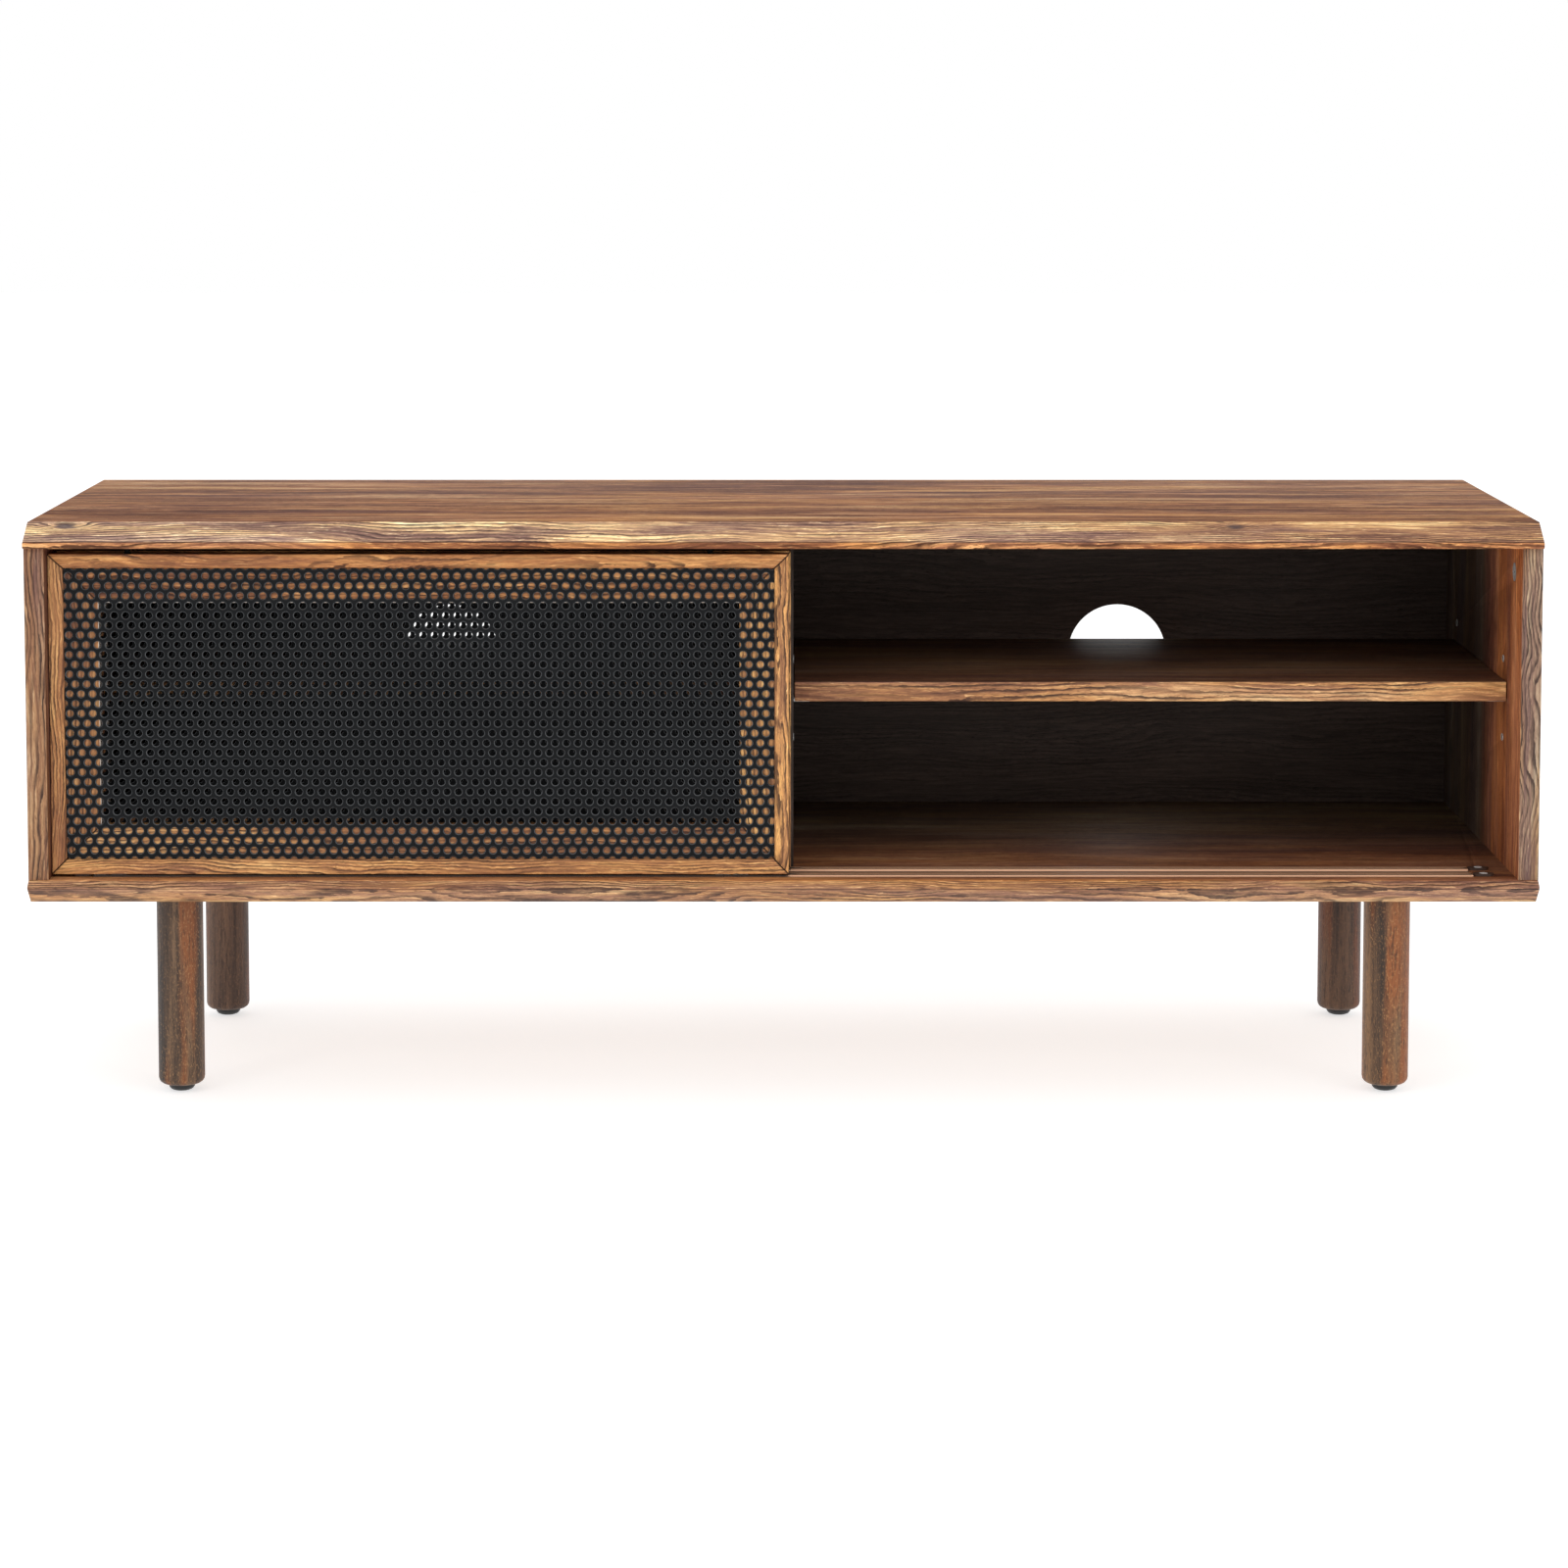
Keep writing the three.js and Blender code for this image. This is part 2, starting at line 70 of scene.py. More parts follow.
# ------------------------------------------------------------------ node graphs
class Graph:
    def __init__(self, name):
        self.mat = bpy.data.materials.new(name)
        self.mat.use_nodes = True
        self.t = self.mat.node_tree
        self.t.nodes.clear()
        self.out = self.t.nodes.new("ShaderNodeOutputMaterial")
        self.bsdf = self.t.nodes.new("ShaderNodeBsdfPrincipled")
        self.t.links.new(self.bsdf.outputs["BSDF"], self.out.inputs["Surface"])

    def put(self, socket, value):
        if isinstance(value, bpy.types.NodeSocket):
            self.t.links.new(value, socket)
        elif value is not None:
            socket.default_value = value

    def math(self, op, a, b=None, c=None, clamp=False):
        n = self.t.nodes.new("ShaderNodeMath")
        n.operation = op
        n.use_clamp = clamp
        for s, v in zip(n.inputs, (a, b, c)):
            self.put(s, v)
        return n.outputs[0]

    def vec(self, op, a, b=None):
        n = self.t.nodes.new("ShaderNodeVectorMath")
        n.operation = op
        for s, v in zip(n.inputs, (a, b)):
            self.put(s, v)
        return n.outputs[0]

    def noise(self, v, detail=2.0, rough=0.5, distortion=0.0, scale=1.0):
        n = self.t.nodes.new("ShaderNodeTexNoise")
        self.put(n.inputs["Vector"], v)
        n.inputs["Scale"].default_value = scale
        n.inputs["Detail"].default_value = detail
        n.inputs["Roughness"].default_value = rough
        n.inputs["Distortion"].default_value = distortion
        return n.outputs["Fac"], n.outputs["Color"]

    def voronoi(self, v, feature="F1"):
        n = self.t.nodes.new("ShaderNodeTexVoronoi")
        n.feature = feature
        self.put(n.inputs["Vector"], v)
        n.inputs["Scale"].default_value = 1.0
        return n.outputs["Distance"]

    def ramp(self, fac, stops):
        n = self.t.nodes.new("ShaderNodeValToRGB")
        e = n.color_ramp.elements
        while len(e) < len(stops):
            e.new(0.5)
        for k, (p, c) in enumerate(stops):
            e[k].position = p
            e[k].color = c if hasattr(c, "__len__") else (c, c, c, 1.0)
        self.put(n.inputs["Fac"], fac)
        return n.outputs["Color"]

    def range(self, v, a, b, c=0.0, d=1.0, smooth=True):
        n = self.t.nodes.new("ShaderNodeMapRange")
        n.interpolation_type = "SMOOTHSTEP" if smooth else "LINEAR"
        for s, x in zip(n.inputs, (v, a, b, c, d)):
            self.put(s, x)
        return n.outputs[0]

    def mix(self, fac, a, b, blend="MIX"):
        n = self.t.nodes.new("ShaderNodeMix")
        n.data_type = "RGBA"
        n.blend_type = blend
        self.put(n.inputs[0], fac)
        self.put(n.inputs[6], a)
        self.put(n.inputs[7], b)
        return n.outputs[2]

    def coords(self, axis, offset=(0, 0, 0)):
        """Object coordinates turned so that the first one runs along the grain."""
        tc = self.t.nodes.new("ShaderNodeTexCoord")
        sep = self.t.nodes.new("ShaderNodeSeparateXYZ")
        com = self.t.nodes.new("ShaderNodeCombineXYZ")
        self.put(sep.inputs[0], tc.outputs["Object"])
        for i, k in enumerate({"X": (0, 1, 2), "Y": (1, 0, 2), "Z": (2, 0, 1)}[axis]):
            self.put(com.inputs[i], sep.outputs[k])
        return self.vec("ADD", com.outputs[0], tuple(offset))

    def xyz(self):
        """The three object coordinates."""
        tc = self.t.nodes.new("ShaderNodeTexCoord")
        sep = self.t.nodes.new("ShaderNodeSeparateXYZ")
        self.put(sep.inputs[0], tc.outputs["Object"])
        return sep.outputs[0], sep.outputs[1], sep.outputs[2]

    def scaled(self, v, s):
        return self.vec("MULTIPLY", v, s if len(s) == 3 else (s[0], s[1], s[1]))

    def bump(self, height, strength, distance):
        n = self.t.nodes.new("ShaderNodeBump")
        n.inputs["Strength"].default_value = strength
        n.inputs["Distance"].default_value = distance
        self.put(n.inputs["Height"], height)
        self.put(self.bsdf.inputs["Normal"], n.outputs["Normal"])

    def set(self, **kw):
        names = {
            "color": "Base Color", "rough": "Roughness", "metal": "Metallic",
            "spec": "Specular IOR Level", "coat": "Coat Weight", "coat_rough": "Coat Roughness",
            "emission": "Emission Color", "emission_strength": "Emission Strength",
            "sheen": "Sheen Weight",
        }
        for k, v in kw.items():
            self.put(self.bsdf.inputs[names[k]], v)
        return self.mat


# ------------------------------------------------------------------ wood laminate
WALNUT = [
    (0.26, lin(104, 66, 52)),
    (0.40, lin(138, 92, 66)),
    (0.50, lin(166, 114, 76)),
    (0.60, lin(190, 138, 92)),
    (0.74, lin(218, 172, 120)),
]


def wood(name, axis, seed, tones=WALNUT, line=lin(54, 33, 29), line_amount=0.92, lines=270.0,
         wave=0.03, spec=0.22, rough=(0.46, 0.62), stretch=1.0, tint=(1.0, 1.0, 1.0), contrast=1.6, tilt=0.8,
         mixture=(0.34, 0.34, 0.32), drift_amount=0.06, zones=(), inner_face_painted_shade=None, knots=(), rim=None, mitre=(),
         pink=0.45, thread=0.35, quick=0.006, arcs=(), run=None):
    """Printed walnut: broad bands, growth lines that wander into arcs, fine streaks, pores and knots."""
    g = Graph(name)
    rng = np.random.RandomState(seed)
    off = rng.uniform(-8, 8, 3)
    v0 = g.coords(axis, (0, 0, 0))
    v = g.vec("ADD", v0, tuple(off))
    px, py, pz = g.xyz()

    def warp(v, along, across, amount, detail=2.0):
        _, c = g.noise(g.scaled(v, (along * stretch, across)), detail, 0.55)
        return g.vec("ADD", v, g.vec("MULTIPLY", g.vec("SUBTRACT", c, (0.5, 0.5, 0.5)), (0.0, amount, amount)))

    # slow wander of the grain, a quicker one, and the roughness of single lines
    v1 = warp(v, 2.4, 9.0, wave)
    v2 = warp(v1, 14.0, 60.0, quick)
    v3 = warp(v2, 95.0, 420.0, 0.0016)
    tone, _ = g.noise(g.scaled(v2, (2.0 * stretch, 24.0)), 3.0, 0.55)
    band, _ = g.noise(g.scaled(v2, (4.5 * stretch, 85.0)), 3.0, 0.6)
    mid, _ = g.noise(g.scaled(v3, (11.0 * stretch, 280.0)), 3.0, 0.6)
    fine, _ = g.noise(g.scaled(v3, (30.0 * stretch, 820.0)), 3.0, 0.62)
    hue, _ = g.noise(g.scaled(v1, (2.6 * stretch, 34.0)), 2.0, 0.5)
    k = g.math("MULTIPLY", tone, mixture[0])
    k = g.math("MULTIPLY_ADD", band, mixture[1], k)
    k = g.math("MULTIPLY_ADD", mid, mixture[2], k)
    k = g.math("MULTIPLY_ADD", g.math("SUBTRACT", fine, 0.5), 0.2, k)
    k = g.math("MULTIPLY_ADD", g.math("SUBTRACT", k, 0.5), contrast, 0.5)
    base = g.ramp(k, tones)
    if pink:
        m = g.math("MULTIPLY", g.range(hue, 0.44, 0.60), pink)
        base = g.mix(m, base, g.mix(1.0, base, (0.90, 1.03, 1.55, 1.0), "MULTIPLY"))
    # pale threads between the lines
    if thread:
        base = g.mix(g.math("MULTIPLY", g.range(fine, 0.58, 0.72), thread), base, lin(226, 188, 142))
    # growth lines: level lines of a field that drifts slowly along the grain
    sep = g.t.nodes.new("ShaderNodeSeparateXYZ")
    g.put(sep.inputs[0], v3)
    drift, _ = g.noise(g.scaled(v, (2.2 * stretch, 9.0)), 2.0, 0.5)
    field = g.math("MULTIPLY_ADD", sep.outputs[2], tilt, sep.outputs[1])
    field = g.math("MULTIPLY_ADD", drift, drift_amount, field)
    for c, lo, hi, amount, along in arcs:
        # a strip cut across an arch of the grain: (coordinate, from, to, how far, how often)
        c = (px, py, pz)[c]
        m = g.math("MULTIPLY", g.math("GREATER_THAN", c, lo), g.math("LESS_THAN", c, hi))
        more, _ = g.noise(g.scaled(v, (along, 22.0)), 2.0, 0.5)
        field = g.math("MULTIPLY_ADD", g.math("MULTIPLY", m, more), amount, field)
    dark = None
    for kx, ky, rx, ry in knots:
        d = g.math("SQRT", g.math("ADD",
                                  g.math("POWER", g.math("DIVIDE", g.math("SUBTRACT", px, kx), rx), 2.0),
                                  g.math("POWER", g.math("DIVIDE", g.math("SUBTRACT", py, ky), ry), 2.0)))
        field = g.math("MULTIPLY_ADD", g.range(d, 2.6, 0.2), 0.010, field)
        one = g.range(g.math("MULTIPLY_ADD", g.math("SUBTRACT", mid, 0.5), 1.6, d), 1.0, 0.35)
        dark = one if dark is None else g.math("MAXIMUM", dark, one)
    saw = g.math("FRACT", g.math("MULTIPLY", field, lines))
    ring = g.math("MULTIPLY", g.range(saw, 0.34, 0.82), g.range(saw, 1.0, 0.92))
    where, _ = g.noise(g.scaled(v2, (4.5 * stretch, 50.0)), 2.0, 0.5)
    ring = g.math("MULTIPLY", ring, g.range(where, 0.34, 0.55, 0.35, 1.0))
    ring = g.math("MULTIPLY", ring, g.range(mid, 0.34, 0.54, 0.45, 1.0))
    inner = None
    # mask of the inner face: its grain lines are softened here, and further down its colour gets painted shade by depth
    if inner_face_painted_shade is not None:
        c, lo, hi, stops = inner_face_painted_shade
        c = (px, py, pz)[c]
        inner = g.math("MULTIPLY", g.math("GREATER_THAN", c, lo), g.math("LESS_THAN", c, hi))
        ring = g.math("MULTIPLY", ring, g.math("MULTIPLY_ADD", inner, -0.6, 1.0))
    col = g.mix(g.math("MULTIPLY", ring, line_amount), base, line)
    # thin dark streaks and open pores
    streak = g.math("MULTIPLY", g.range(mid, 0.57, 0.70), g.range(fine, 0.40, 0.60, 0.45, 1.0))
    col = g.mix(g.math("MULTIPLY", streak, 0.65), col, line)
    pores, _ = g.noise(g.scaled(v3, (150.0, 1700.0)), 1.0, 0.5)
    pore = g.math("MULTIPLY", g.range(pores, 0.57, 0.70), g.range(where, 0.30, 0.6, 0.35, 1.0))
    col = g.mix(g.math("MULTIPLY", pore, 0.55), col, line)
    if dark is not None:
        col = g.mix(g.math("MULTIPLY", dark, 0.8), col, lin(58, 44, 44))
    lightness = g.range(fine, 0.28, 0.72, 0.82, 1.18, False)
    col = g.mix(1.0, col, g.ramp_value(lightness), "MULTIPLY")
    if tint != (1.0, 1.0, 1.0):
        col = g.mix(1.0, col, (*tint, 1.0), "MULTIPLY")
    for c, lo, hi, gain in zones:
        # a strip of the surface with its colour multiplied by a gain: (coordinate, from, to, gain); some strips are
        # print, some are painted light, as said where they are given
        c = (px, py, pz)[c]
        m = g.math("MULTIPLY", g.math("GREATER_THAN", c, lo), g.math("LESS_THAN", c, hi))
        col = g.mix(m, col, g.mix(1.0, col, (*gain, 1.0), "MULTIPLY"))
    if run is not None:
        # a strip whose gain blends from one end to the other along X, in front of a y and above a z: (y below, z above,
        # x from, x to, gain, gain); on the top panel it grades the bevel's painted sheen
        below, above, xa, xb, ga, gb = run
        m = g.math("MULTIPLY", g.math("LESS_THAN", py, below), g.math("GREATER_THAN", pz, above))
        tone = g.mix(g.range(px, xa, xb), (*ga, 1.0), (*gb, 1.0))
        col = g.mix(m, col, g.mix(1.0, col, tone, "MULTIPLY"))
    for cx, cz in mitre:
        # glue line of the mitre that starts at this outer corner
        m = g.math("ABSOLUTE", g.math("SUBTRACT", g.math("ABSOLUTE", g.math("SUBTRACT", px, cx)),
                                      g.math("ABSOLUTE", g.math("SUBTRACT", pz, cz))))
        col = g.mix(g.math("MULTIPLY", g.range(m, 0.0011, 0.0004), 0.8), col, lin(38, 24, 20))
    if inner_face_painted_shade is not None:
        # painted light and shade on the inner face: lighter near the opening, painted darker towards the back where
        # shade falls: (coordinate, lo, hi, [(depth, gain), ...])
        d0, d1 = stops[0][0], stops[-1][0]
        gain = g.ramp(g.range(py, d0, d1, 0.0, 1.0, False), [((d - d0) / (d1 - d0), (*q, 1.0)) for d, q in stops])
        col = g.mix(inner, col, g.mix(1.0, col, gain, "MULTIPLY"))
    if rim is not None:
        # painted highlight along the rebate's inner edge, a pale line: (coordinate, place, half width)
        c = (px, py, pz)[rim[0]]
        m = g.math("LESS_THAN", g.math("ABSOLUTE", g.math("SUBTRACT", c, rim[1])), rim[2])
        col = g.mix(g.math("MULTIPLY", m, 0.75), col, lin(226, 216, 206))
    r = g.math("MULTIPLY_ADD", fine, rough[1] - rough[0], rough[0])
    r = g.math("ADD", r, g.math("MULTIPLY", pore, 0.12))
    height = g.math("SUBTRACT", g.math("MULTIPLY", fine, 0.5), g.math("MULTIPLY", g.math("ADD", pore, ring), 0.5))
    g.bump(height, 0.35, 0.00025)
    return g.set(color=col, rough=r, spec=spec)


def _ramp_value(self, value):
    """A grey colour from a value."""
    n = self.t.nodes.new("ShaderNodeCombineColor")
    for s in n.inputs[:3]:
        self.put(s, value)
    return n.outputs[0]


Graph.ramp_value = _ramp_value

DARK = [
    (0.28, lin(52, 42, 36)),
    (0.45, lin(66, 54, 47)),
    (0.55, lin(76, 62, 54)),
    (0.72, lin(90, 73, 62)),
]


def leg_wood(name, seed, gain=(1.0, 1.0, 1.0)):
    """Stained solid wood: grey-brown, with rust patches, dark lines and short pale flecks."""
    g = Graph(name)
    rng = np.random.RandomState(seed)
    v = g.coords("Z", rng.uniform(-5, 5, 3))
    _, c1 = g.noise(g.scaled(v, (6.0, 30.0)), 2.0, 0.5)
    v1 = g.vec("ADD", v, g.vec("MULTIPLY", g.vec("SUBTRACT", c1, (0.5, 0.5, 0.5)), (0.0, 0.01, 0.01)))
    broad, _ = g.noise(g.scaled(v1, (3.0, 66.0)), 3.0, 0.55)
    rust, _ = g.noise(g.scaled(v1, (4.0, 44.0)), 2.0, 0.5)
    fine, _ = g.noise(g.scaled(v1, (24.0, 520.0)), 3.0, 0.6)
    base = g.ramp(broad, [
        (0.36, lin(56, 44, 38)), (0.46, lin(92, 72, 58)),
        (0.55, lin(126, 102, 82)), (0.66, lin(150, 124, 100)),
    ])
    base = g.mix(g.math("MULTIPLY", g.range(rust, 0.48, 0.62), 0.85), base, lin(150, 90, 48))
    dark = g.range(fine, 0.56, 0.72)
    base = g.mix(g.math("MULTIPLY", dark, 0.6), base, lin(46, 35, 30))
    fleck, _ = g.noise(g.scaled(v1, (420.0, 850.0)), 2.0, 0.6)
    pale = g.math("MULTIPLY", g.range(fleck, 0.54, 0.66), g.range(rust, 0.36, 0.58, 0.4, 1.0))
    base = g.mix(g.math("MULTIPLY", pale, 0.55), base, lin(190, 150, 108))
    pores, _ = g.noise(g.scaled(v1, (140.0, 1100.0)), 1.0, 0.5)
    pore = g.range(pores, 0.55, 0.68)
    base = g.mix(g.math("MULTIPLY", pore, 0.55), base, lin(40, 30, 26))
    base = g.mix(1.0, base, (*gain, 1.0), "MULTIPLY")
    g.bump(g.math("SUBTRACT", fine, pore), 0.4, 0.0003)
    return g.set(color=base, rough=g.math("MULTIPLY_ADD", fine, 0.2, 0.38), spec=0.4)


def plain(name, dark, light, rough=(0.35, 0.5), metal=0.0, spec=0.5, grain=(220.0, 900.0), bump=0.15, axis="X", distance=0.0002):
    """Moulded or metal finish: a little mottling, fine texture in roughness and bump."""
    g = Graph(name)
    v = g.coords(axis)
    cloud, _ = g.noise(g.scaled(v, (grain[0] * 0.2, grain[0] * 0.2)), 3.0, 0.5)
    fine, _ = g.noise(g.scaled(v, grain), 3.0, 0.6)
    col = g.mix(g.math("MULTIPLY_ADD", cloud, 0.6, g.math("MULTIPLY", fine, 0.4)), dark, light)
    g.bump(fine, bump, distance)
    return g.set(color=col, rough=g.math("MULTIPLY_ADD", fine, rough[1] - rough[0], rough[0]), metal=metal, spec=spec)


def coat_paint(name, dark, light, rough, spec):
    """Black powder coat on steel: tiny orange-peel, slightly rubbed in patches."""
    g = Graph(name)
    v = g.coords("X")
    peel, _ = g.noise(g.scaled(v, (1500.0, 1500.0)), 2.0, 0.55)
    cloud, _ = g.noise(g.scaled(v, (14.0, 14.0)), 3.0, 0.5)
    col = g.mix(g.math("MULTIPLY_ADD", cloud, 0.5, g.math("MULTIPLY", peel, 0.5)), dark, light)
    g.bump(peel, 0.12, 0.0001)
    return g.set(color=col, rough=g.math("MULTIPLY_ADD", peel, rough[1] - rough[0], rough[0]), spec=spec)


# ------------------------------------------------------------------ modifiers on CAD nodes
def crisp(o, width, segments=2, angle=32.0):
    """Small real round on a panel's edges."""
    w = o.modifiers.new("weld", "WELD")
    w.merge_threshold = 0.00001
    d = o.modifiers.new("planar", "DECIMATE")
    d.decimate_type = "DISSOLVE"
    d.angle_limit = math.radians(0.5)
    b = o.modifiers.new("edge", "BEVEL")
    b.width = width
    b.segments = segments
    b.limit_method = "ANGLE"
    b.angle_limit = math.radians(angle)
    b.use_clamp_overlap = True
    b.harden_normals = False
    b.miter_outer = "MITER_ARC"


def shade(o, angle=32.0):
    me = o.data
    me.polygons.foreach_set("use_smooth", [True] * len(me.polygons))
    try:
        me.set_sharp_from_angle(angle=math.radians(angle))
    except AttributeError:
        pass


def paint(o, mat):
    o.data.materials.clear()
    o.data.materials.append(mat)
    for p in o.data.polygons:
        p.material_index = 0


# ------------------------------------------------------------------ carcass
# depth is measured back from the foremost plane of the cabinet
Y0 = cad_lo.y


def depth(*stops):
    return [(Y0 + d, q) for d, q in stops]


# depth stops of painted light and shade for the inner faces: gains above one paint light near the opening, gains below
# one paint shade deeper in; the deck's first stops paint a contact shade on the ledge behind the door
WALL_PAINTED_LIGHT_AND_SHADE = depth((0.10, (1.30, 0.95, 0.70)), (0.145, (1.22, 0.95, 0.80)), (0.19, (0.33, 0.41, 0.48)), (0.38, (0.34, 0.52, 0.78)))
DECK_PAINTED_LIGHT_AND_SHADE = depth((0.014, (1.12, 1.0, 0.82)), (0.0195, (0.92, 0.70, 0.47)), (0.0212, (0.60, 0.52, 0.50)), (0.08, (0.60, 0.52, 0.50)), (0.12, (0.52, 0.46, 0.46)), (0.20, (0.36, 0.42, 0.56)), (0.31, (0.6, 0.85, 1.0)), (0.38, (0.6, 0.85, 1.0)))
SHELF_PAINTED_SHADE = depth((0.09, (0.38, 0.40, 0.50)), (0.20, (0.52, 0.72, 0.9)), (0.34, (0.55, 0.8, 1.0)))

# the top's bevel strip, in front of Y0 + 0.0245, is painted lighter and greyer as a painted sheen, and the run makes
# that painted sheen lighter at the left and darker at the right; a thin dark line sits at z 0.4488 to 0.4496 and the
# lip below it is tinted golden
TOP = dict(wave=0.045, mixture=(0.36, 0.40, 0.24), contrast=2.5, spec=0.08, rough=(0.6, 0.75), stretch=1.2,
           lines=250.0, drift_amount=0.05, tint=(0.98, 0.93, 0.89),
           zones=((1, -9.0, Y0 + 0.0245, (1.80, 2.32, 2.70)), (2, 0.4488, 0.4496, (0.45, 0.42, 0.42)),
                  (2, -1.0, 0.4488, (0.92, 0.70, 0.50))),
           knots=((0.356, Y0 + 0.018, 0.011, 0.0042), (-0.565, Y0 + 0.019, 0.012, 0.003)),
           run=(Y0 + 0.0245, 0.4496, -0.25, 0.45, (1.22, 1.40, 1.52), (0.91, 0.89, 0.86)))
SIDE = dict(stretch=1.0, tilt=0.3, lines=250.0, wave=0.02, pink=0.8, quick=0.003)
INNER = cad_hi.x - 0.0158
for name, mat, bevel in (
    ("top_panel", wood("walnut_top", "X", 11, **TOP), 0.0009),
    # on the bottom panel the lower bevel, below z 0.1735, is painted lighter and greyer as a painted reflection of the
    # floor
    ("bottom_panel", wood("walnut_bottom", "X", 27, stretch=1.6, drift_amount=0.06, lines=260.0, zones=(
        (2, 0.1735, 0.1742, (0.5, 0.45, 0.42)), (2, -1.0, 0.1735, (1.25, 1.42, 1.38)), (1, -9.0, Y0 + 0.012, (1.2, 1.18, 1.15)),
        (2, 0.1742, 0.1795, (1.3, 1.45, 1.4))), inner_face_painted_shade=(2, 0.1792, 1.0, DECK_PAINTED_LIGHT_AND_SHADE)), 0.0008),
    # the left inner face is also painted dark in a band just behind its front edge, a painted shade beside the doors,
    # then painted light before the wall stops take over
    ("left_side_panel", wood("walnut_side_left", "Z", 35, drift_amount=0.06, arcs=((1, -9.0, Y0 + 0.0072, 0.03, 9.0),), zones=((1, -9.0, Y0 + 0.0072, (0.82, 0.90, 1.06)),), inner_face_painted_shade=(0, -INNER, 1.0, depth((0.02, (0.45, 0.36, 0.34)), (0.05, (1.1, 0.82, 0.64))) + WALL_PAINTED_LIGHT_AND_SHADE[1:]), **SIDE), 0.0005),
    ("right_side_panel", wood("walnut_side_right", "Z", 41, drift_amount=0.12, arcs=((1, -9.0, Y0 + 0.0072, 0.045, 9.0),), zones=((1, -9.0, Y0 + 0.0072, (0.91, 1.12, 1.26)),), inner_face_painted_shade=(0, -1.0, INNER, WALL_PAINTED_LIGHT_AND_SHADE), **SIDE), 0.0005),
    # the right shelf's front strip gets a much stronger gain than the left one's: painted light on the shelf of the bay
    # that stands open at rest
    ("left_shelf", wood("walnut_shelf_left", "X", 52, stretch=1.3, quick=0.003, drift_amount=0.04, lines=290.0, zones=((1, -9.0, Y0 + 0.0668, (1.02, 1.08, 1.02)),), inner_face_painted_shade=(2, 0.3294, 1.0, SHELF_PAINTED_SHADE)), 0.0006),
    ("right_shelf", wood("walnut_shelf_right", "X", 58, stretch=1.3, quick=0.003, drift_amount=0.04, lines=290.0, zones=((1, -9.0, Y0 + 0.0668, (1.47, 1.58, 1.45)),), inner_face_painted_shade=(2, 0.3294, 1.0, SHELF_PAINTED_SHADE)), 0.0006),
    ("centre_divider", wood("dark_divider", "Z", 63, DARK, lin(30, 24, 20), spec=0.12, contrast=1.0, line_amount=0.4, pink=0, thread=0, tint=(1.15, 1.25, 1.35)), 0.0005),
    ("back_panel", wood("dark_back", "X", 71, DARK, lin(30, 24, 20), spec=0.12, contrast=1.0, line_amount=0.4, pink=0, thread=0, tint=(1.15, 1.25, 1.35)), 0.0003),
):
    o = nodes[name]
    paint(o, mat)
    crisp(o, bevel)
    shade(o)

# ------------------------------------------------------------------ door frames
FRAME_TINT = {"top_rail": (1.35, 1.28, 1.06), "bottom_rail": (1.58, 1.62, 1.34),
              "left_stile": (1.3, 1.3, 1.15), "right_stile": (1.9, 2.1, 1.7)}
for k, door in enumerate(("front_door", "rear_door")):
    for i, (piece, axis, coord, end) in enumerate((
        ("top_rail", "X", 2, 0), ("bottom_rail", "X", 2, 1), ("left_stile", "Z", 0, 1), ("right_stile", "Z", 0, 0),
    )):
        o = nodes[f"{door}_{piece}"]
        lo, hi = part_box(f"{door}_{piece}")
        edge = (lo, hi)[end][coord]
        outer = {"top_rail": ((lo.x, hi.z), (hi.x, hi.z)), "bottom_rail": ((lo.x, lo.z), (hi.x, lo.z)),
                 "left_stile": ((lo.x, lo.z), (lo.x, hi.z)), "right_stile": ((hi.x, lo.z), (hi.x, hi.z))}[piece]
        # the painted highlight on the rebate's edge is given only to the top rail and the left stile, the edges the
        # light falls on
        paint(o, wood(f"walnut_{door}_{piece}", axis, 101 + 10 * k + i, stretch=1.5, pink=0.15, drift_amount=0.03, lines=290.0, mitre=outer, tint=FRAME_TINT[piece],
                      zones=((1, lo.y + 0.003, lo.y + 0.0145, (0.74, 0.72, 0.76)),),
                      rim=(coord, edge, 0.0007) if piece in ("top_rail", "left_stile") else None))
        crisp(o, 0.0006)
        shade(o)

# ------------------------------------------------------------------ perforated steel
PITCH, ROW, HOLE = 0.00904, 0.00783, 0.0028
POWDER = coat_paint("powder_black", lin(10, 11, 13), lin(24, 26, 28), (0.5, 0.65), 0.12)
# the chamfer round each hole is painted a lighter grey than the sheet: painted highlight standing in for the glints on
# the hole edges
RIM_PAINTED_HIGHLIGHT = coat_paint("powder_black_rim_painted_highlight", lin(52, 54, 56), lin(86, 88, 91), (0.25, 0.4), 0.5)


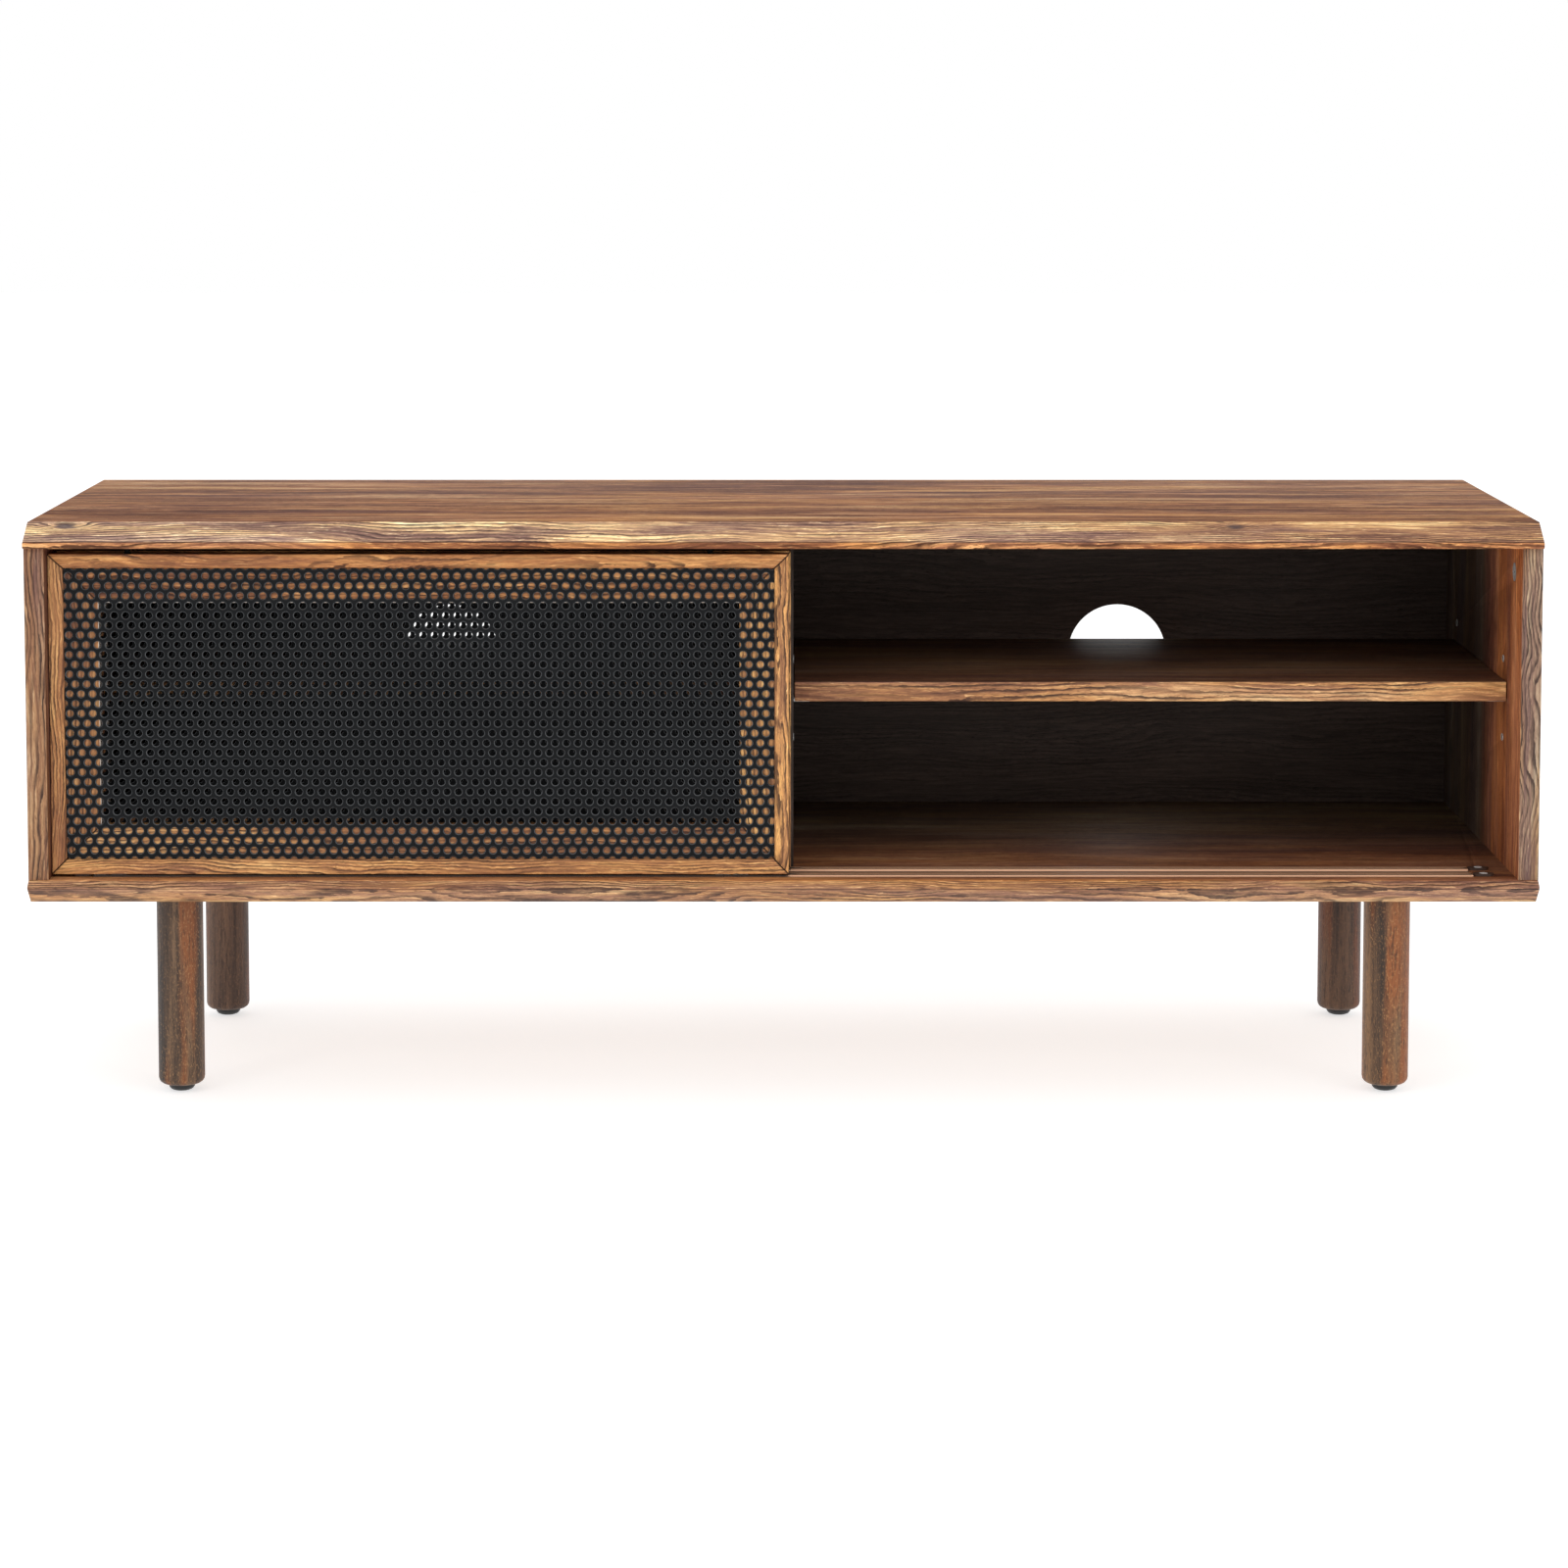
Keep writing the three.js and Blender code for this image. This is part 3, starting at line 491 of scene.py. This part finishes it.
def perforated(name, lo, hi, first, body, seg=12, chamfer=0.0006):
    """Steel sheet from lo to hi with round holes on a 60 degree stagger; first is one hole's centre (x, z)."""
    r0 = HOLE * 1.012
    k0 = math.floor((lo.z - first[1]) / ROW) - 1
    k1 = math.ceil((hi.z - first[1]) / ROW) + 1
    verts, faces, rim_highlight_flags = [], [], []
    grid = {}

    def corner(x, z, y):
        key = (round(x * 1e6), round(z * 1e6), y)
        if key not in grid:
            grid[key] = len(verts)
            verts.append((x, lo.y if y == 0 else hi.y, z))
        return grid[key]

    ang_in = [2 * math.pi * (i + 0.5) / seg for i in range(seg)]
    hw, hh = PITCH / 2, ROW / 2
    outer = [(hw, -hh), (hw, hh), (0, hh), (-hw, hh), (-hw, -hh), (0, -hh)]
    ang_out = [math.atan2(z, x) % (2 * math.pi) for x, z in outer]
    order = sorted(range(6), key=lambda i: ang_out[i])
    outer = [outer[i] for i in order]
    ang_out = [ang_out[i] for i in order]
    # one annulus, as triangles of ('o', i) and ('i', j)
    tris = []
    i = j = 0
    while i < 6 or j < seg:
        ao = ang_out[i % 6] + (2 * math.pi if i >= 6 else 0) if i <= 6 else 1e9
        nxt_o = ang_out[(i + 1) % 6] + (2 * math.pi if i + 1 >= 6 else 0) if i < 6 else 1e9
        nxt_i = ang_in[(j + 1) % seg] + (2 * math.pi if j + 1 >= seg else 0) if j < seg else 1e9
        if nxt_o <= nxt_i:
            tris.append((("o", i % 6), ("o", (i + 1) % 6), ("i", j % seg)))
            i += 1
        else:
            tris.append((("o", i % 6), ("i", (j + 1) % seg), ("i", j % seg)))
            j += 1
    for k in range(k0, k1 + 1):
        cz = first[1] + k * ROW
        shift = (PITCH / 2) * (k % 2)
        n0 = math.floor((lo.x - first[0] - shift) / PITCH) - 1
        n1 = math.ceil((hi.x - first[0] - shift) / PITCH) + 1
        for n in range(n0, n1 + 1):
            cx = first[0] + shift + n * PITCH
            f_out = [corner(cx + x, cz + z, 0) for x, z in outer]
            b_out = [corner(cx + x, cz + z, 1) for x, z in outer]
            base = len(verts)
            for radius, y in ((r0 + chamfer, lo.y), (r0, lo.y + chamfer), (r0, hi.y)):
                verts.extend((cx + radius * math.cos(a), y, cz + radius * math.sin(a)) for a in ang_in)
            for t in tris:
                f = [f_out[q] if kind == "o" else base + q for kind, q in t]
                b = [b_out[q] if kind == "o" else base + 2 * seg + q for kind, q in t]
                faces.append(f)
                faces.append(b[::-1])
                rim_highlight_flags += [0, 0]
            for s in range(seg):
                e = (s + 1) % seg
                faces.append((base + s, base + e, base + seg + e, base + seg + s))
                faces.append((base + seg + s, base + seg + e, base + 2 * seg + e, base + 2 * seg + s))
                # the chamfer ring takes the painted highlight material, the bore wall the plain powder coat
                rim_highlight_flags += [1, 0]
    me = bpy.data.meshes.new(name)
    me.from_pydata(verts, [], faces)
    me.materials.append(POWDER)
    me.materials.append(RIM_PAINTED_HIGHLIGHT)
    me.polygons.foreach_set("material_index", rim_highlight_flags)
    bm = bmesh.new()
    bm.from_mesh(me)
    for co, no in (
        ((lo.x, 0, 0), (-1, 0, 0)), ((hi.x, 0, 0), (1, 0, 0)),
        ((0, 0, lo.z), (0, 0, -1)), ((0, 0, hi.z), (0, 0, 1)),
    ):
        bmesh.ops.bisect_plane(
            bm, geom=bm.verts[:] + bm.edges[:] + bm.faces[:], dist=1e-7,
            plane_co=co, plane_no=no, clear_outer=True,
        )
        rim = [e for e in bm.edges if e.is_boundary and all(
            abs((v.co - Vector(co)).dot(Vector(no))) < 1e-6 for v in e.verts)]
        bmesh.ops.holes_fill(bm, edges=rim, sides=0)
    # slivers left by the cut
    bmesh.ops.dissolve_degenerate(bm, dist=1e-7, edges=bm.edges[:])
    bmesh.ops.recalc_face_normals(bm, faces=bm.faces[:])
    bmesh.ops.triangulate(bm, faces=[f for f in bm.faces if len(f.verts) > 4])
    bm.to_mesh(me)
    bm.free()
    o = bpy.data.objects.new(name, me)
    scene.collection.objects.link(o)
    shade(o, 30.0)
    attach(o, body)
    return o


for door, first in (("front_door", (-0.5652, 0.4199)), ("rear_door", (-0.5652 + 0.0029, 0.4199 - 0.00207))):
    a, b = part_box(f"{door}_mesh")
    sheet = perforated(f"{door}_perforated_sheet", a, b, first, door)
    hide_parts(f"{door}_mesh")

# ------------------------------------------------------------------ tracks, rollers, hardware


def track_finish(name, z_top):
    """Tan moulding: painted highlights on the front walls of the runs, painted shade in the grooves and in the web
    between the runs.
    """
    g = Graph(name)
    v = g.coords("X")
    px, py, pz = g.xyz()
    fine, _ = g.noise(g.scaled(v, (12.0, 700.0)), 3.0, 0.6)
    cloud, _ = g.noise(g.scaled(v, (3.0, 30.0)), 2.0, 0.5)
    col = g.mix(g.math("MULTIPLY_ADD", fine, 0.6, g.math("MULTIPLY", cloud, 0.4)), lin(147, 106, 76), lin(171, 129, 98))
    d = g.math("SUBTRACT", py, Y0)
    # painted shade in the web between the two runs
    web_shade = g.math("MULTIPLY", g.math("GREATER_THAN", d, 0.0334), g.math("LESS_THAN", d, 0.0465))
    col = g.mix(web_shade, col, lin(72, 46, 32))
    # painted highlight along the front wall of each run
    for c in (0.02075, 0.04675):
        wall_highlight = g.math("LESS_THAN", g.math("ABSOLUTE", g.math("SUBTRACT", d, c)), 0.0004)
        col = g.mix(wall_highlight, col, lin(240, 190, 154))
    # painted shade in the grooves of the runs
    for c in (0.027, 0.053):
        groove_shade = g.math("LESS_THAN", g.math("ABSOLUTE", g.math("SUBTRACT", d, c)), 0.0023)
        col = g.mix(g.math("MULTIPLY", groove_shade, 0.5), col, lin(96, 66, 48))
    # painted shade from an ambient-occlusion node: darker where the runs are shut in from above, as under the doors
    ao = g.t.nodes.new("ShaderNodeAmbientOcclusion")
    ao.samples = 32
    ao.inputs["Distance"].default_value = 0.012
    ao_painted_shade = g.range(ao.outputs["AO"], 0.56, 0.47)
    col = g.mix(g.math("MULTIPLY", ao_painted_shade, 0.97), col, lin(26, 17, 13))
    g.bump(fine, 0.1, 0.0002)
    return g.set(color=col, rough=g.math("MULTIPLY_ADD", fine, 0.12, 0.3), spec=0.4)


TRACK = track_finish("track_tan", 0)
GUIDE = plain("guide_black", lin(8, 8, 8), lin(16, 16, 16), (0.6, 0.75), 0.0, 0.1, (500.0, 500.0), 0.2)
BLACK = plain("black_plastic", lin(18, 18, 18), lin(34, 34, 34), (0.35, 0.55), 0.0, 0.5, (500.0, 500.0), 0.2)
NYLON = plain("nylon", lin(206, 202, 190), lin(226, 222, 212), (0.35, 0.5), 0.0, 0.5, (300.0, 300.0), 0.1)
STEEL = plain("steel", lin(150, 152, 154), lin(196, 197, 198), (0.22, 0.4), 1.0, 0.5, (60.0, 1600.0), 0.12, "Y")


# light zinc grey, made part diffuse and lighter than bare metal: the zinc's own grey plus a painted glint, on the cam
# locks and the pin sleeves
ZINC_PAINTED_GLINT = plain("cam_zinc_painted_glint", lin(170, 172, 170), lin(224, 226, 224), (0.3, 0.45), 0.35, 0.5, (400.0, 400.0), 0.3, "Y")
HOLLOW = plain("pin_hole_shadow", lin(10, 8, 7), lin(20, 16, 14), (0.7, 0.8), 0.0, 0.1, (500.0, 500.0), 0.1)


def pin_sleeves(name, x, face, places):
    """Flanged steel sleeves of the unused shelf-pin holes, let into an inner face that looks along X."""
    seg, verts, faces, mats = 20, [], [], []
    for y, z in places:
        for prof, mat in ((((0.0022, -0.0002), (0.0022, 0.0003), (0.0026, 0.00045), (0.0031, 0.0003), (0.0032, -0.0002)), 0),):
            base, m = len(verts), len(prof)
            for k in range(seg):
                a = 2 * math.pi * k / seg
                verts.extend((x + face * t, y + r * math.cos(a), z + r * math.sin(a)) for r, t in prof)
            for k in range(seg):
                for j in range(m):
                    q = [base + k * m + j, base + ((k + 1) % seg) * m + j,
                         base + ((k + 1) % seg) * m + (j + 1) % m, base + k * m + (j + 1) % m]
                    faces.append(q if face < 0 else q[::-1])
                    mats.append(mat)
        # painted shade of the bore: a low closed dark disc standing in for the hole's shadow
        base = len(verts)
        for t in (-0.0002, 0.0001):
            verts.extend((x + face * t, y + 0.00218 * math.cos(2 * math.pi * k / seg), z + 0.00218 * math.sin(2 * math.pi * k / seg))
                         for k in range(seg))
        low, high = list(range(base, base + seg)), list(range(base + seg, base + 2 * seg))
        faces += [low, high[::-1]]
        mats += [1, 1]
        for k in range(seg):
            faces.append([low[k], high[k], high[(k + 1) % seg], low[(k + 1) % seg]])
            mats.append(1)
    me = bpy.data.meshes.new(name)
    me.from_pydata(verts, [], faces)
    me.materials.append(ZINC_PAINTED_GLINT)
    me.materials.append(HOLLOW)
    me.polygons.foreach_set("material_index", mats)
    bm = bmesh.new()
    bm.from_mesh(me)
    bmesh.ops.recalc_face_normals(bm, faces=bm.faces[:])
    bm.to_mesh(me)
    bm.free()
    o = bpy.data.objects.new(name, me)
    scene.collection.objects.link(o)
    shade(o, 35.0)
    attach(o, "cabinet")


for side, sign in (("left", -1.0), ("right", 1.0)):
    for where, pin in (("outer", f"{side}_shelf_pin_front_outer"), ("inner", f"{side}_shelf_pin_front_inner")):
        spots = []
        for pos in ("front", "rear"):
            lo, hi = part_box(f"{side}_shelf_pin_{pos}_{where}")
            spots += [((lo.y + hi.y) / 2, (lo.z + hi.z) / 2 + dz) for dz in (-0.032, 0.032)]
        if where == "outer":
            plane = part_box(f"{side}_side_panel")[0 if sign > 0 else 1].x
            pin_sleeves(f"{side}_outer_pin_sleeves", plane, -sign, spots)
        else:
            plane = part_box("centre_divider")[1 if sign > 0 else 0].x
            pin_sleeves(f"{side}_inner_pin_sleeves", plane, sign, spots)


def stop_finish(name, lo, hi):
    """Black moulding with a screw head let into its middle, painted near white as a glint."""
    g = Graph(name)
    v = g.coords("X")
    fine, _ = g.noise(g.scaled(v, (600.0, 600.0)), 3.0, 0.6)
    flat = g.vec("MULTIPLY", g.vec("SUBTRACT", v, ((lo.x + hi.x) / 2, (lo.y + hi.y) / 2, 0.0)), (1.0, 1.0, 0.0))
    n = g.t.nodes.new("ShaderNodeVectorMath")
    n.operation = "LENGTH"
    g.put(n.inputs[0], flat)
    sep = g.t.nodes.new("ShaderNodeSeparateXYZ")
    g.put(sep.inputs[0], v)
    # the screw head's top is painted near white with a little metal: a painted glint
    head_glint = g.math("MULTIPLY", g.math("LESS_THAN", n.outputs["Value"], 0.00326),
                  g.math("GREATER_THAN", sep.outputs[2], hi.z - 0.00034))
    body = g.mix(fine, lin(48, 33, 26), lin(78, 55, 43))
    g.bump(fine, 0.2, 0.0002)
    return g.set(color=g.mix(head_glint, body, lin(236, 236, 234)), metal=g.math("MULTIPLY", head_glint, 0.25),
                 rough=g.math("MULTIPLY_ADD", head_glint, -0.2, 0.48), spec=0.5)


for n, o in nodes.items():
    if n in ("bottom_track", "top_track"):
        paint(o, TRACK)
        crisp(o, 0.00035)
        shade(o)
    elif n.startswith("track_stop"):
        paint(o, stop_finish("finish_" + n, *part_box(n)))
        shade(o, 40)
    elif "guide_pin" in n:
        paint(o, GUIDE)
        shade(o, 40)
    elif n.startswith("foot_glide"):
        paint(o, BLACK)
        shade(o, 40)
    elif "roller" in n:
        paint(o, NYLON)
        shade(o, 40)
    elif "cam_lock" in n:
        paint(o, ZINC_PAINTED_GLINT)
        shade(o, 40)
    elif "shelf_pin" in n or "leg_bolt" in n:
        paint(o, STEEL)
        shade(o, 40)
    elif n.startswith("leg_"):
        # the rear legs get much darker gains than the front ones: painted shade under the cabinet
        paint(o, leg_wood("leg_wood_" + n[4:], {"leg_front_left": 3, "leg_front_right": 8, "leg_rear_left": 14, "leg_rear_right": 21}[n],
                          {"leg_front_left": (0.78, 0.70, 0.58), "leg_front_right": (0.92, 0.78, 0.58),
                           "leg_rear_left": (0.53, 0.44, 0.405), "leg_rear_right": (0.45, 0.36, 0.31)}[n]))
        shade(o, 50)

# ------------------------------------------------------------------ studio
me = bpy.data.meshes.new("floor")
S = 14.0
me.from_pydata([(-S, -S, -0.0004), (S, -S, -0.0004), (S, S, -0.0004), (-S, S, -0.0004)], [], [(0, 1, 2, 3)])
floor = bpy.data.objects.new("floor", me)
scene.collection.objects.link(floor)
g = Graph("floor_white")
fl, _ = g.noise(g.scaled(g.coords("X"), (3.0, 3.0)), 2.0, 0.5)
me.materials.append(g.set(color=g.mix(fl, (0.56, 0.56, 0.56, 1), (0.60, 0.60, 0.60, 1)), rough=0.85, spec=0.1,
                          emission=(1, 1, 1, 1), emission_strength=0.62))

world = bpy.data.worlds.new("studio")
scene.world = world
world.use_nodes = True
bg = world.node_tree.nodes["Background"]
bg.inputs["Color"].default_value = (1, 1, 1, 1)
bg.inputs["Strength"].default_value = 1.0


def area(name, loc, target, size, power):
    l = bpy.data.lights.new(name, "AREA")
    l.shape = "RECTANGLE"
    l.size, l.size_y = size
    l.energy = power
    o = bpy.data.objects.new(name, l)
    scene.collection.objects.link(o)
    o.location = loc
    o.rotation_mode = "QUATERNION"
    o.rotation_quaternion = (Vector(target) - Vector(loc)).to_track_quat("-Z", "Y")
    return o


area("key", (-2.2, -2.6, 2.3), (0, 0, 0.3), (0.7, 0.5), 9.0)
area("fill", (2.3, -2.6, 2.0), (0, 0, 0.3), (0.7, 0.5), 7.0)

scene.view_settings.view_transform = "Standard"
scene.view_settings.look = "None"
scene.view_settings.exposure = 0.0
scene.view_settings.gamma = 1.0

# ------------------------------------------------------------------ camera
cam = bpy.data.cameras.new("camera")
cam.sensor_width = 36.0
cam.lens = 95.43
cam.shift_x = 0.0004
cam.shift_y = -0.2
cam.clip_start, cam.clip_end = 0.05, 60.0
co = bpy.data.objects.new("camera", cam)
scene.collection.objects.link(co)
co.location = (0.0, -3.437, 0.791)
co.rotation_euler = (math.radians(90 - 5.03), 0, 0)
scene.camera = co

bpy.context.view_layer.update()
